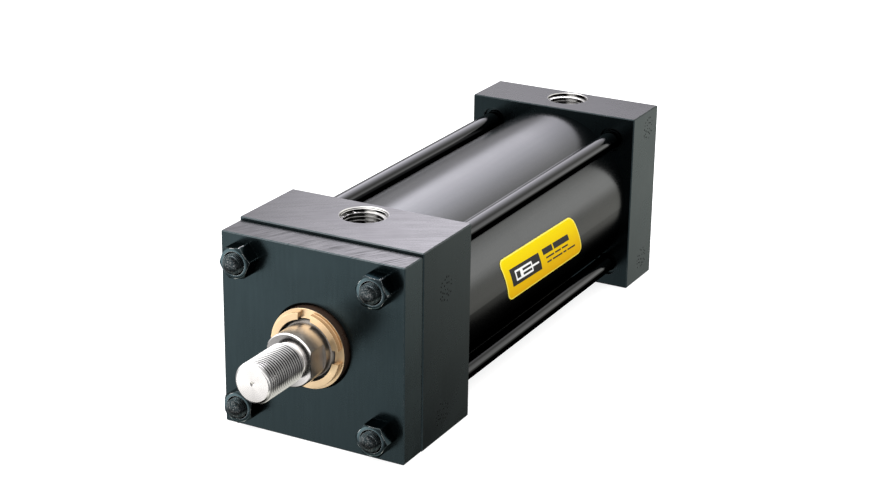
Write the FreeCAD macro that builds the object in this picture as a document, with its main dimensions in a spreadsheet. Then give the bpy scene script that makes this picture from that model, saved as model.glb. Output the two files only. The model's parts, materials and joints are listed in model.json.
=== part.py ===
import FreeCAD, Part
import math
import os
import re
import Sketcher

# Square-head tie-rod pneumatic cylinder, 3-1/4 in bore by 6 in stroke with a 1 in rod, in millimetres.
# The rod axis is the Y axis and the rod points along -Y. The origin is on that axis, in the front face
# of the retainer plate. The ports face +Z. The cylinder is drawn with its rod fully retracted.

# name, millimetres or degrees, what it is
DIMENSIONS = (
    ("square_side", 95.25, "side of the square head and cap"),
    ("plate_thick", 15.875, "retainer plate thickness"),
    ("plate_top_drop", 1.6, "how far the plate's top is below the head's"),
    ("plate_side_inset", 0.4, "how far the plate's sides are inside the head's"),
    ("head_thick", 44.45, "head thickness"),
    ("cap_thick", 31.75, "cap thickness"),
    ("tube_length", 184.15, "tube between head and cap"),
    ("block_chamfer", 0.5, "broken edges of plate, head and cap"),
    ("bore_radius", 41.275, "tube inner radius"),
    ("tube_radius", 44.45, "tube outer radius"),
    ("pilot_length", 4.76, "how far head and cap reach into the tube"),
    ("pilot_gap", 0.05, "radial gap between pilot and tube"),
    ("pilot_groove_start", 0.9, "from the block's face to the tube seal's groove"),
    ("pilot_groove_width", 2.8, "width of the tube seal's groove"),
    ("pilot_groove_depth", 2.65, "depth of the tube seal's groove"),
    ("tube_seal_section", 1.3, "section radius of the tube seal"),
    ("cavity_radius", 25.0, "air chamber in head and cap"),
    ("head_cavity_depth", 26.3, "chamber depth from the head's rear face"),
    ("cap_cavity_depth", 23.5, "chamber depth from the cap's front face"),
    ("rod_pitch", 70.1, "side of the square of tie rods"),
    ("tie_rod_radius", 4.7625, "tie rod"),
    ("tie_rod_hole", 5.2, "tie rod hole radius"),
    ("tie_rod_spot", 6.6, "radius of the recess round each rod in the cap's front"),
    ("tie_rod_spot_depth", 1.8, "depth of that recess"),
    ("tie_rod_chamfer", 0.8, "tie rod end chamfer"),
    ("tie_rod_proud", 2.54, "tie rod beyond its nut"),
    ("nut_flats", 14.2875, "tie rod nut across flats"),
    ("nut_thick", 8.33, "tie rod nut thickness"),
    ("nut_face_radius", 6.9, "flat front face inside the nut's chamfer"),
    ("nut_hole", 4.8, "tie rod nut hole radius"),
    ("port_radius", 10.6, "port thread, major radius"),
    ("head_mouth_radius", 11.5, "head port's chamfer ring"),
    ("cap_mouth_radius", 10.9, "cap port's chamfer ring"),
    ("port_thread_depth", 14.0, "port thread depth"),
    ("port_drill_radius", 8.9, "passage below the port thread"),
    ("port_floor_height", 20.0, "height of the passage's end above the axis"),
    ("head_port_offset", 29.845, "head port axis behind the head's front face"),
    ("cap_port_offset", 18.923, "cap port axis behind the cap's front face"),
    ("foot_hole_radius", 6.35, "mounting thread in the underside"),
    ("foot_hole_depth", 16.0, "mounting thread depth"),
    ("foot_hole_spacing", 38.1, "mounting threads, centre to centre across"),
    ("head_foot_offset", 29.845, "mounting threads behind the head's front face"),
    ("cap_foot_offset", 15.875, "mounting threads behind the cap's front face"),
    ("gland_radius", 19.05, "gland pilot in front of the plate"),
    ("gland_thread_radius", 18.8, "gland thread in the plate, major radius"),
    ("gland_gap", 0.05, "radial gap round the gland"),
    ("gland_mouth_width", 1.45, "chamfer of the plate's hole"),
    ("gland_neck_radius", 17.5, "gland in the head"),
    ("gland_neck_length", 15.5, "gland inside the head"),
    ("gland_rim_height", 3.8, "gland rim in front of the plate"),
    ("gland_raise_height", 2.55, "raised segments in front of the rim"),
    ("gland_raise_radius", 17.7, "outer radius of the raised segments"),
    ("gland_slot_width", 6.35, "spanner slots"),
    ("gland_edge", 0.4, "gland edge chamfers"),
    ("gland_ring_start", 5.0, "from the head's front face to the gland o-ring groove"),
    ("gland_ring_width", 2.4, "gland o-ring groove width"),
    ("gland_ring_depth", 1.8, "gland o-ring groove depth"),
    ("gland_ring_section", 0.9, "gland o-ring section radius"),
    ("bearing_radius", 12.72, "rod bearing in the gland"),
    ("wiper_pocket_radius", 14.5, "wiper pocket"),
    ("wiper_pocket_depth", 10.0, "wiper pocket depth from the raised face"),
    ("wiper_sink", 1.7, "wiper lip tip behind the raised face"),
    ("wiper_lip_length", 2.6, "wiper lip in front of its body"),
    ("wiper_lip_tip", 0.4, "wiper lip thickness at its tip"),
    ("wiper_lip_root", 1.0, "wiper lip thickness at its root"),
    ("wiper_body_gap", 0.15, "gap between the wiper's body and the rod"),
    ("seal_pocket_radius", 16.6, "rod seal groove"),
    ("seal_pocket_start", 14.5, "rod seal groove from the raised face"),
    ("seal_pocket_width", 6.0, "rod seal groove width"),
    ("rubber_gap", 0.03, "gap between a rubber ring and its groove"),
    ("lip_notch_depth", 0.55, "depth of a lip seal's notch, as a share of its width"),
    ("lip_notch_margin", 0.25, "lip edge on each side of the notch, as a share of its thickness"),
    ("rod_radius", 12.7, "piston rod"),
    ("rod_reach", 19.05, "rod shoulder in front of the plate"),
    ("rod_thread_radius", 9.525, "rod end thread"),
    ("rod_thread_length", 28.575, "rod end thread length"),
    ("rod_undercut_radius", 8.2, "undercut behind the rod end thread"),
    ("rod_undercut_width", 2.4, "width of that undercut"),
    ("rod_tip_chamfer", 1.3, "rod tip chamfer"),
    ("rod_shoulder_chamfer", 0.6, "rod shoulder chamfer"),
    ("rod_centre_radius", 1.25, "centre drilling in the rod tip"),
    ("rod_centre_depth", 0.5, "depth of that drilling"),
    ("wrench_flats", 22.225, "rod wrench flats, across"),
    ("wrench_flat_length", 10.7, "rod wrench flats, along"),
    ("stroke", 152.4, "full stroke"),
    ("end_gap", 0.05, "piston to pilot at each end of the stroke"),
    ("piston_gap", 0.06, "radial gap between piston and tube"),
    ("piston_edge", 0.6, "piston edge chamfers"),
    ("piston_hole", 9.56, "piston hole on the rod's stud"),
    ("piston_land", 1.8, "piston land outside each seal"),
    ("piston_seal_width", 4.8, "piston seal groove width"),
    ("piston_seal_depth", 5.2, "piston seal groove depth"),
    ("band_width", 6.0, "wear band groove width"),
    ("band_depth", 2.5, "wear band groove depth"),
    ("band_angle", 356.0, "turn of the split wear band"),
    ("slide_gap", 0.02, "gap of bands and seals on the tube"),
    ("stud_ring_start", 6.0, "stud o-ring groove from the piston's front face"),
    ("stud_ring_width", 2.4, "stud o-ring groove width"),
    ("stud_ring_radius", 11.5, "stud o-ring groove radius"),
    ("stud_ring_section", 0.93, "stud o-ring section radius"),
    ("lock_nut_flats", 28.575, "piston lock nut across flats"),
    ("lock_nut_thick", 10.7, "piston lock nut thickness"),
    ("lock_nut_bevel", 0.3, "piston lock nut bevel at the middle of each flat"),
    ("stud_proud", 1.5, "stud beyond the lock nut"),
    ("label_start", 102.1, "label's front end on the tube"),
    ("label_length", 86.0, "label length"),
    ("label_height", 24.3, "label height"),
    ("label_rise", 2.9, "label's middle above the rod axis"),
    ("label_lean", 12.4, "how far the label's ends lean back over its height"),
    ("label_fall", 1.7, "how far the label drops over its length"),
    ("label_corner", 3.6, "label corner radius"),
    ("label_thick", 0.2, "label thickness"),
    ("label_gap", 0.02, "label above the tube"),
)

CORNERS = ((1, 1), (-1, 1), (-1, -1), (1, -1))
# How far each nut happens to be turned, in degrees; the tie rod nuts in the order of CORNERS.
HEAD_NUT_TURNS = (-5.0, 8.5, 28.0, -3.0)
CAP_NUT_TURNS = (12.0, -9.0, 3.0, 24.0)
LOCK_NUT_TURN = 10.0
SPARE = 1.0  # how far cutting profiles reach past the surfaces that they open

doc = FreeCAD.newDocument("tie_rod_cylinder")


def make_sheet():
    """Put every driving dimension in the sheet, one row each, with its name as the alias."""
    sheet = doc.addObject("Spreadsheet::Sheet", "sizes")
    for row, (name, value, meaning) in enumerate(DIMENSIONS, start=1):
        sheet.set(f"A{row}", meaning)
        sheet.set(f"B{row}", str(value))
        sheet.setAlias(f"B{row}", name)
    doc.recompute()
    return sheet


def cells(text):
    """Turn the bare names in a formula into references to the sheet."""
    return re.sub("[a-z_]+", r"sizes.\g<0>", text)


def bind(thing, **formulas):
    """Bind properties of an object to formulas of sheet names; a double underscore stands for a dot."""
    for name, formula in formulas.items():
        thing.setExpression(name.replace("__", "."), cells(formula))


def new_body(label, along="0", across="0", up="0"):
    """Start a body whose origin is placed by formulas."""
    body = doc.addObject("PartDesign::Body", label)
    bind(body, Placement__Base__x=across, Placement__Base__y=along, Placement__Base__z=up)
    return body


def new_sketch(body, name, role="XY_Plane"):
    """Start a sketch on one of the body's own origin planes."""
    sketch = body.newObject("Sketcher::SketchObject", f"{body.Name}_{name}")
    plane = next(item for item in body.Origin.OriginFeatures if item.Role == role)
    sketch.AttachmentSupport = (plane, [""])
    sketch.MapMode = "FlatFace"
    return sketch


def pin_point(sketch, line, end, across, along):
    """Fix one point of a sketch by two formulas."""
    for kind, formula in (("DistanceX", across), ("DistanceY", along)):
        index = sketch.addConstraint(Sketcher.Constraint(kind, line, end, 1.0))
        sketch.setExpression(f"Constraints[{index}]", cells(formula))


def draw_outline(sketch, corners):
    """Draw a closed outline of straight lines through corners given as pairs of formulas."""
    count = len(corners)
    start = sketch.GeometryCount
    ring = [2 * math.pi * i / count for i in range(count + 1)]
    points = [FreeCAD.Vector(math.cos(angle), math.sin(angle), 0) for angle in ring]
    for i in range(count):
        sketch.addGeometry(Part.LineSegment(points[i], points[i + 1]), False)
    for i in range(count):
        sketch.addConstraint(Sketcher.Constraint("Coincident", start + i, 2, start + (i + 1) % count, 1))
    for i, (across, along) in enumerate(corners):
        pin_point(sketch, start + i, 1, across, along)


def draw_circles(sketch, centres, radius):
    """Draw equal circles at centres given as pairs of formulas."""
    for across, along in centres:
        circle = sketch.addGeometry(Part.Circle(FreeCAD.Vector(0, 0, 0), FreeCAD.Vector(0, 0, 1), 1.0), False)
        pin_point(sketch, circle, 3, across, along)
        index = sketch.addConstraint(Sketcher.Constraint("Radius", circle, 1.0))
        sketch.setExpression(f"Constraints[{index}]", cells(radius))


def turn_profile(body, name, corners, cut=False, angle="360"):
    """Revolve an outline of (radius, distance) corners about the body's Y axis, to add or to cut."""
    sketch = new_sketch(body, name + "_profile")
    draw_outline(sketch, corners)
    kind = "PartDesign::Groove" if cut else "PartDesign::Revolution"
    turned = body.newObject(kind, f"{body.Name}_{name}")
    turned.Profile = sketch
    turned.ReferenceAxis = (sketch, ["V_Axis"])
    bind(turned, Angle=angle)
    return turned


def turned_body(label, corners, **place):
    """A body that is one revolved outline."""
    body = new_body(label, **place)
    turn_profile(body, "turned", corners)
    return body


def drill(body, name, centres, radius, depth=None):
    """Cut equal holes along +Y from the body's XZ plane, through the body where no depth is given."""
    sketch = new_sketch(body, name + "_circles", "XZ_Plane")
    draw_circles(sketch, centres, radius)
    holes = body.newObject("PartDesign::Pocket", f"{body.Name}_{name}")
    holes.Profile = sketch
    if depth is None:
        holes.Type = "ThroughAll"
    else:
        bind(holes, Length=depth)
    return holes


def tie_rod_centres():
    return [(f"{x} * rod_pitch / 2", f"{z} * rod_pitch / 2") for x, z in CORNERS]


def square_block(label, thick, along, top="square_side / 2", side="square_side / 2"):
    """A block with broken edges, its front face in the body's XZ plane, drilled for the tie rods."""
    body = new_body(label, along=along)
    sketch = new_sketch(body, "square", "XZ_Plane")
    low = "-square_side / 2"
    draw_outline(sketch, [(f"-({side})", low), (side, low), (side, top), (f"-({side})", top)])
    pad = body.newObject("PartDesign::Pad", f"{label}_pad")
    pad.Profile = sketch
    pad.Reversed = True
    bind(pad, Length=thick)
    doc.recompute()
    edges = body.newObject("PartDesign::Chamfer", f"{label}_edges")
    edges.Base = (pad, [f"Edge{i}" for i in range(1, len(pad.Shape.Edges) + 1)])
    bind(edges, Size="block_chamfer")
    drill(body, "tie_rod_holes", tie_rod_centres(), "tie_rod_hole")
    return body


def add_pilot(body, face, outward):
    """Add the round pilot that enters the tube, grooved for its seal; outward is 1 or -1 along Y."""
    def at(distance):
        return f"{face} + {outward} * ({distance})"

    rim = "bore_radius - pilot_gap"
    floor = "bore_radius - pilot_gap - pilot_groove_depth"
    groove_end = "pilot_groove_start + pilot_groove_width"
    turn_profile(body, "pilot", [
        ("0", at(f"-{SPARE}")),
        (rim, at(f"-{SPARE}")),
        (rim, at("pilot_groove_start")),
        (floor, at("pilot_groove_start")),
        (floor, at(groove_end)),
        (rim, at(groove_end)),
        (rim, at("pilot_length")),
        ("0", at("pilot_length")),
    ])


def cut_port(body, offset, mouth):
    """Cut the threaded port down from the top face into the air chamber."""
    sketch = new_sketch(body, "port_profile", "YZ_Plane")
    bind(sketch, AttachmentOffset__Base__x=offset)
    top = "square_side / 2"
    seat = f"{top} - port_thread_depth"
    draw_outline(sketch, [
        ("0", "port_floor_height"),
        ("port_drill_radius", "port_floor_height"),
        ("port_drill_radius", seat),
        ("port_radius", seat),
        ("port_radius", f"{top} - ({mouth} - port_radius)"),
        (mouth, top),
        (mouth, f"{top} + {SPARE}"),
        ("0", f"{top} + {SPARE}"),
    ])
    port = body.newObject("PartDesign::Groove", f"{body.Name}_port")
    port.Profile = sketch
    port.ReferenceAxis = (sketch, ["V_Axis"])
    port.Angle = 360
    return port


def cut_foot_holes(body, offset):
    """Cut the pair of mounting threads up into the underside."""
    sketch = new_sketch(body, "foot_circles", "XY_Plane")
    bind(sketch, AttachmentOffset__Base__z="-square_side / 2")
    centres = [(f"{side} * foot_hole_spacing / 2", offset) for side in (-1, 1)]
    draw_circles(sketch, centres, "foot_hole_radius")
    holes = body.newObject("PartDesign::Pocket", f"{body.Name}_foot_holes")
    holes.Profile = sketch
    holes.Reversed = True
    bind(holes, Length="foot_hole_depth")
    return holes


def make_retainer_plate():
    """The square plate that holds the gland, with a chamfered round hole."""
    body = square_block("retainer_plate", "plate_thick", "0", top="square_side / 2 - plate_top_drop",
                        side="square_side / 2 - plate_side_inset")
    hole = "gland_thread_radius + gland_gap"
    turn_profile(body, "gland_hole", [
        ("0", f"-{SPARE}"),
        (f"{hole} + gland_mouth_width", f"-{SPARE}"),
        (f"{hole} + gland_mouth_width", "0"),
        (hole, "gland_mouth_width"),
        (hole, f"plate_thick + {SPARE}"),
        ("0", f"plate_thick + {SPARE}"),
    ], cut=True)
    return body


def make_rod_head():
    """The front head: gland bore, air chamber, pilot, port and two mounting threads."""
    body = square_block("rod_head", "head_thick", "plate_thick")
    add_pilot(body, "head_thick", 1)
    neck = "gland_neck_radius + gland_gap"
    chamber = "head_thick - head_cavity_depth"
    end = f"head_thick + pilot_length + {SPARE}"
    turn_profile(body, "bore", [
        ("0", f"-{SPARE}"),
        (neck, f"-{SPARE}"),
        (neck, chamber),
        ("cavity_radius", chamber),
        ("cavity_radius", end),
        ("0", end),
    ], cut=True)
    cut_port(body, "head_port_offset", "head_mouth_radius")
    cut_foot_holes(body, "head_foot_offset")
    return body


def make_rear_cap():
    """The rear cap: air chamber, pilot, port, rod recesses and two mounting threads."""
    body = square_block("rear_cap", "cap_thick", "plate_thick + head_thick + tube_length")
    drill(body, "rod_recesses", tie_rod_centres(), "tie_rod_spot", "tie_rod_spot_depth")
    add_pilot(body, "0", -1)
    start = f"-pilot_length - {SPARE}"
    turn_profile(body, "chamber", [
        ("0", start),
        ("cavity_radius", start),
        ("cavity_radius", "cap_cavity_depth"),
        ("0", "cap_cavity_depth"),
    ], cut=True)
    cut_port(body, "cap_port_offset", "cap_mouth_radius")
    cut_foot_holes(body, "cap_foot_offset")
    return body


def make_barrel_tube():
    return turned_body("barrel_tube", [
        ("bore_radius", "0"),
        ("tube_radius", "0"),
        ("tube_radius", "tube_length"),
        ("bore_radius", "tube_length"),
    ], along="plate_thick + head_thick")


def group(label, members):
    """Several separate solids under one name."""
    compound = doc.addObject("Part::Compound", label)
    compound.Links = members
    return compound


def make_tie_rods():
    """Four rods that pass through plate, head and cap, with chamfered ends."""
    length = "plate_thick + head_thick + tube_length + cap_thick + 2 * (nut_thick + tie_rod_proud)"
    outline = [
        ("0", "0"),
        ("tie_rod_radius - tie_rod_chamfer", "0"),
        ("tie_rod_radius", "tie_rod_chamfer"),
        ("tie_rod_radius", f"{length} - tie_rod_chamfer"),
        ("tie_rod_radius - tie_rod_chamfer", length),
        ("0", length),
    ]
    rods = [
        turned_body(f"tie_rod_{i}", outline, across=across, up=up, along="-(nut_thick + tie_rod_proud)")
        for i, (across, up) in enumerate(tie_rod_centres(), start=1)
    ]
    return group("tie_rods", rods)


def make_nut(name, flats, thick, hole, face_radius, facing, turn, **place):
    """A hexagon nut standing on its base along Y, its outer corners chamfered; facing is 1 or -1 along Y."""
    prism = doc.addObject("Part::Prism", f"{name}_hexagon")
    prism.Polygon = 6
    cone = doc.addObject("Part::Cone", f"{name}_chamfer")
    bore = doc.addObject("Part::Cylinder", f"{name}_bore")
    bind(prism, Circumradius=f"{flats} / 3 ^ 0.5", Height=thick)
    # The chamfer is 30 degrees off the face, so the cone widens by the square root of 3 per unit of height.
    bind(cone, Radius1=f"{face_radius} + {thick} * 3 ^ 0.5", Radius2=face_radius, Height=thick)
    bind(bore, Radius=hole, Height=thick)
    stand = FreeCAD.Rotation(FreeCAD.Vector(1, 0, 0), -90.0 * facing)
    spin = FreeCAD.Rotation(FreeCAD.Vector(0, 0, 1), turn)
    for item in (prism, cone, bore):
        item.Placement = FreeCAD.Placement(FreeCAD.Vector(0, 0, 0), stand.multiply(spin))
        bind(item, **{f"Placement__Base__{axis}": formula for axis, formula in place.items()})
    body = doc.addObject("Part::Common", f"{name}_body")
    body.Base = prism
    body.Tool = cone
    nut = doc.addObject("Part::Cut", name)
    nut.Base = body
    nut.Tool = bore
    return nut


def make_tie_rod_nuts(label, facing, along, turns):
    """Four nuts on the tie rods' ends, each turned as it happened to tighten."""
    nuts = []
    for i, ((across, up), turn) in enumerate(zip(tie_rod_centres(), turns), start=1):
        nuts.append(make_nut(f"{label}_{i}", "nut_flats", "nut_thick", "nut_hole", "nut_face_radius",
                             facing, turn, x=across, y=along, z=up))
    return group(label, nuts)


def make_rod_gland():
    """The bronze gland: slotted raised rim, wiper pocket, rod seal groove, bearing and o-ring groove."""
    plate_face = "gland_raise_height + gland_rim_height"
    shoulder = f"{plate_face} + plate_thick - gland_gap"
    ring = f"{shoulder} + gland_gap + gland_ring_start"
    end = f"{shoulder} + gland_neck_length"
    seal_end = "seal_pocket_start + seal_pocket_width"
    body = turned_body("rod_gland", [
        ("wiper_pocket_radius", "0"),
        ("gland_raise_radius", "0"),
        ("gland_raise_radius", "gland_raise_height"),
        ("gland_radius - gland_edge", "gland_raise_height"),
        ("gland_radius", "gland_raise_height + gland_edge"),
        ("gland_radius", plate_face),
        ("gland_thread_radius", plate_face),
        ("gland_thread_radius", shoulder),
        ("gland_neck_radius", shoulder),
        ("gland_neck_radius", ring),
        ("gland_neck_radius - gland_ring_depth", ring),
        ("gland_neck_radius - gland_ring_depth", f"{ring} + gland_ring_width"),
        ("gland_neck_radius", f"{ring} + gland_ring_width"),
        ("gland_neck_radius", f"{end} - gland_edge"),
        ("gland_neck_radius - gland_edge", end),
        ("bearing_radius", end),
        ("bearing_radius", seal_end),
        ("seal_pocket_radius", seal_end),
        ("seal_pocket_radius", "seal_pocket_start"),
        ("bearing_radius", "seal_pocket_start"),
        ("bearing_radius", "wiper_pocket_depth"),
        ("wiper_pocket_radius", "wiper_pocket_depth"),
    ], along="-(gland_rim_height + gland_raise_height)")
    half_width = "gland_slot_width / 2"
    reach = "gland_radius"
    for name, across, up in (("flat_slots", reach, half_width), ("upright_slots", half_width, reach)):
        sketch = new_sketch(body, name + "_outline", "XZ_Plane")
        corners = ((-1, -1), (1, -1), (1, 1), (-1, 1))
        draw_outline(sketch, [(f"{x} * {across}", f"{z} * {up}") for x, z in corners])
        slots = body.newObject("PartDesign::Pocket", f"rod_gland_{name}")
        slots.Profile = sketch
        bind(slots, Length="gland_raise_height")
    return body


def make_rod_wiper():
    """The rubber wiper, its lip leaning in to the rod."""
    outer = "wiper_pocket_radius - rubber_gap"
    end = "wiper_pocket_depth - wiper_sink - rubber_gap"
    lip = "bearing_radius"
    return turned_body("rod_wiper", [
        (lip, "0"),
        (f"{lip} + wiper_lip_tip", "0"),
        (f"{lip} + wiper_lip_root", "wiper_lip_length"),
        (outer, "wiper_lip_length"),
        (outer, end),
        (f"{lip} + wiper_body_gap", end),
        (f"{lip} + wiper_body_gap", "wiper_lip_length"),
    ], along="-(gland_rim_height + gland_raise_height) + wiper_sink")


def lip_seal(label, inner, outer, width, opening, along):
    """A rubber seal ring with a V opening between two lips; opening is 1 towards +Y or -1 towards -Y."""
    closed, mouth = ("0", width) if opening > 0 else (width, "0")
    root = f"{mouth} - {opening} * lip_notch_depth * ({width})"
    thick = f"(({outer}) - ({inner}))"
    return turned_body(label, [
        (inner, closed),
        (outer, closed),
        (outer, mouth),
        (f"{outer} - lip_notch_margin * {thick}", mouth),
        (f"(({outer}) + ({inner})) / 2", root),
        (f"{inner} + lip_notch_margin * {thick}", mouth),
        (inner, mouth),
    ], along=along)


def make_rod_lip_seal():
    return lip_seal("rod_lip_seal", "bearing_radius", "seal_pocket_radius - rubber_gap",
                    "seal_pocket_width - 2 * rubber_gap", 1,
                    "-(gland_rim_height + gland_raise_height) + seal_pocket_start + rubber_gap")


def o_ring(label, centre_radius, section, along):
    """A round rubber ring about the Y axis."""
    ring = doc.addObject("Part::Torus", label)
    ring.Placement.Rotation = FreeCAD.Rotation(FreeCAD.Vector(1, 0, 0), 90)
    bind(ring, Radius1=centre_radius, Radius2=section, Placement__Base__y=along)
    return ring


def make_gland_o_ring():
    return o_ring("gland_o_ring", "gland_neck_radius + gland_gap - rubber_gap - gland_ring_section",
                  "gland_ring_section", "plate_thick + gland_ring_start + gland_ring_width / 2")


def make_tube_seals():
    """The o-rings that seal the tube on the head's pilot and on the cap's."""
    radius = "bore_radius - rubber_gap - tube_seal_section"
    offset = "(pilot_groove_start + pilot_groove_width / 2)"
    head_face = "plate_thick + head_thick"
    o_ring("head_tube_seal", radius, "tube_seal_section", f"{head_face} + {offset}")
    o_ring("cap_tube_seal", radius, "tube_seal_section", f"{head_face} + tube_length - {offset}")


PISTON_LENGTH = "(tube_length - 2 * pilot_length - stroke - 2 * end_gap)"
PISTON_FRONT = "(plate_thick + head_thick + pilot_length + end_gap + stroke)"


def make_piston_rod():
    """The rod: centre-drilled threaded end, undercut, wrench flats, plain shank and the piston's stud."""
    shoulder = "rod_thread_length"
    shank_end = f"{PISTON_FRONT} + rod_reach + rod_thread_length"
    stud_end = f"{shank_end} + {PISTON_LENGTH} + lock_nut_thick + stud_proud"
    body = turned_body("piston_rod", [
        ("0", "rod_centre_depth"),
        ("rod_centre_radius", "0"),
        ("rod_thread_radius - rod_tip_chamfer", "0"),
        ("rod_thread_radius", "rod_tip_chamfer"),
        ("rod_thread_radius", f"{shoulder} - rod_undercut_width"),
        ("rod_undercut_radius", f"{shoulder} - rod_undercut_width"),
        ("rod_undercut_radius", shoulder),
        ("rod_radius - rod_shoulder_chamfer", shoulder),
        ("rod_radius", f"{shoulder} + rod_shoulder_chamfer"),
        ("rod_radius", shank_end),
        ("rod_thread_radius", shank_end),
        ("rod_thread_radius", f"{stud_end} - rod_tip_chamfer"),
        ("rod_thread_radius - rod_tip_chamfer", stud_end),
        ("0", stud_end),
    ], along="-(rod_reach + rod_thread_length)")
    for name, side in (("left_flat", -1), ("right_flat", 1)):
        sketch = new_sketch(body, name + "_outline")
        near = f"{side} * wrench_flats / 2"
        far = f"{side} * (rod_radius + {SPARE})"
        end = f"{shoulder} + wrench_flat_length"
        draw_outline(sketch, [(near, shoulder), (far, shoulder), (far, end), (near, end)])
        flat = body.newObject("PartDesign::Pocket", f"piston_rod_{name}")
        flat.Profile = sketch
        flat.Type = "ThroughAll"
        flat.Midplane = True
    return body


def make_piston():
    """The piston, with a wear band groove between two seal grooves and an o-ring groove in its hole."""
    outer = "bore_radius - piston_gap"
    seal_floor = f"{outer} - piston_seal_depth"
    band_floor = f"{outer} - band_depth"
    front_seal_end = "piston_land + piston_seal_width"
    rear_seal_end = f"{PISTON_LENGTH} - piston_land"
    rear_seal_start = f"{rear_seal_end} - piston_seal_width"
    band_start = f"{PISTON_LENGTH} / 2 - band_width / 2"
    band_end = f"{PISTON_LENGTH} / 2 + band_width / 2"
    ring_end = "stud_ring_start + stud_ring_width"
    return turned_body("piston", [
        ("piston_hole", "0"),
        (f"{outer} - piston_edge", "0"),
        (outer, "piston_edge"),
        (outer, "piston_land"),
        (seal_floor, "piston_land"),
        (seal_floor, front_seal_end),
        (outer, front_seal_end),
        (outer, band_start),
        (band_floor, band_start),
        (band_floor, band_end),
        (outer, band_end),
        (outer, rear_seal_start),
        (seal_floor, rear_seal_start),
        (seal_floor, rear_seal_end),
        (outer, rear_seal_end),
        (outer, f"{PISTON_LENGTH} - piston_edge"),
        (f"{outer} - piston_edge", PISTON_LENGTH),
        ("piston_hole", PISTON_LENGTH),
        ("piston_hole", ring_end),
        ("stud_ring_radius", ring_end),
        ("stud_ring_radius", "stud_ring_start"),
        ("piston_hole", "stud_ring_start"),
    ], along=PISTON_FRONT)


def make_piston_seals():
    """The lip seals in the piston's two seal grooves, each opening towards its own end."""
    inner = "bore_radius - piston_gap - piston_seal_depth + rubber_gap"
    outer = "bore_radius - slide_gap"
    width = "piston_seal_width - 2 * rubber_gap"
    front = f"{PISTON_FRONT} + piston_land + rubber_gap"
    rear = f"{PISTON_FRONT} + {PISTON_LENGTH} - piston_land - piston_seal_width + rubber_gap"
    lip_seal("front_piston_seal", inner, outer, width, -1, front)
    lip_seal("rear_piston_seal", inner, outer, width, 1, rear)


def make_piston_wear_band():
    """The split plastic band that guides the piston in the tube."""
    body = new_body("piston_wear_band", along=f"{PISTON_FRONT} + {PISTON_LENGTH} / 2")
    inner = "bore_radius - piston_gap - band_depth + rubber_gap"
    outer = "bore_radius - slide_gap"
    half = "(band_width / 2 - rubber_gap)"
    corners = [(inner, f"-{half}"), (outer, f"-{half}"), (outer, half), (inner, half)]
    turn_profile(body, "turned", corners, angle="band_angle")
    return body


def make_piston_rod_o_ring():
    return o_ring("piston_rod_o_ring", "stud_ring_radius - rubber_gap - stud_ring_section",
                  "stud_ring_section", f"{PISTON_FRONT} + stud_ring_start + stud_ring_width / 2")


def make_piston_lock_nut():
    face_radius = "lock_nut_flats / 2 - lock_nut_bevel"
    return make_nut("piston_lock_nut", "lock_nut_flats", "lock_nut_thick", "piston_hole", face_radius,
                    1, LOCK_NUT_TURN, x="0", y=f"{PISTON_FRONT} + {PISTON_LENGTH}", z="0")


def make_name_label():
    """The thin label on the tube's +X side: a leaning outline with round corners, wrapped on the tube."""
    body = new_body("name_label", along="label_start")
    sketch = new_sketch(body, "outline", "YZ_Plane")
    low, high, fall = "label_rise - label_height / 2", "label_rise + label_height / 2", "label_fall / 2"
    back = "label_lean / 2"
    draw_outline(sketch, [
        (back, f"{low} + {fall}"),
        (f"{back} + label_length", f"{low} - {fall}"),
        (f"label_length - {back}", f"{high} - {fall}"),
        (f"-{back}", f"{high} + {fall}"),
    ])
    pad = body.newObject("PartDesign::Pad", "name_label_pad")
    pad.Profile = sketch
    bind(pad, Length=f"tube_radius + {SPARE}")
    doc.recompute()
    corners = body.newObject("PartDesign::Fillet", "name_label_corners")
    upright = [i for i, edge in enumerate(pad.Shape.Edges, start=1)
               if abs(edge.tangentAt(edge.FirstParameter).x) > 0.99]
    corners.Base = (pad, [f"Edge{i}" for i in upright])
    bind(corners, Radius="label_corner")
    start, end = "-label_lean", "label_length + label_lean"
    inner = "tube_radius + label_gap"
    outer = f"{inner} + label_thick"
    far = f"{outer} + label_height"
    turn_profile(body, "inside", [("0", start), (inner, start), (inner, end), ("0", end)], cut=True)
    turn_profile(body, "outside", [(outer, start), (far, start), (far, end), (outer, end)], cut=True)
    return body


NODES = (
    "retainer_plate", "rod_head", "rear_cap", "barrel_tube", "tie_rods", "head_tie_rod_nuts",
    "cap_tie_rod_nuts", "rod_gland", "rod_wiper", "rod_lip_seal", "gland_o_ring", "head_tube_seal",
    "cap_tube_seal", "piston_rod", "piston", "piston_wear_band", "front_piston_seal",
    "rear_piston_seal", "piston_rod_o_ring", "piston_lock_nut", "name_label",
)


def build():
    make_sheet()
    make_retainer_plate()
    make_rod_head()
    make_rear_cap()
    make_barrel_tube()
    make_tie_rods()
    make_tie_rod_nuts("head_tie_rod_nuts", -1, "0", HEAD_NUT_TURNS)
    cap_rear = "plate_thick + head_thick + tube_length + cap_thick"
    make_tie_rod_nuts("cap_tie_rod_nuts", 1, cap_rear, CAP_NUT_TURNS)
    make_rod_gland()
    make_rod_wiper()
    make_rod_lip_seal()
    make_gland_o_ring()
    make_tube_seals()
    make_piston_rod()
    make_piston()
    make_piston_seals()
    make_piston_wear_band()
    make_piston_rod_o_ring()
    make_piston_lock_nut()
    make_name_label()
    doc.recompute()


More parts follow.
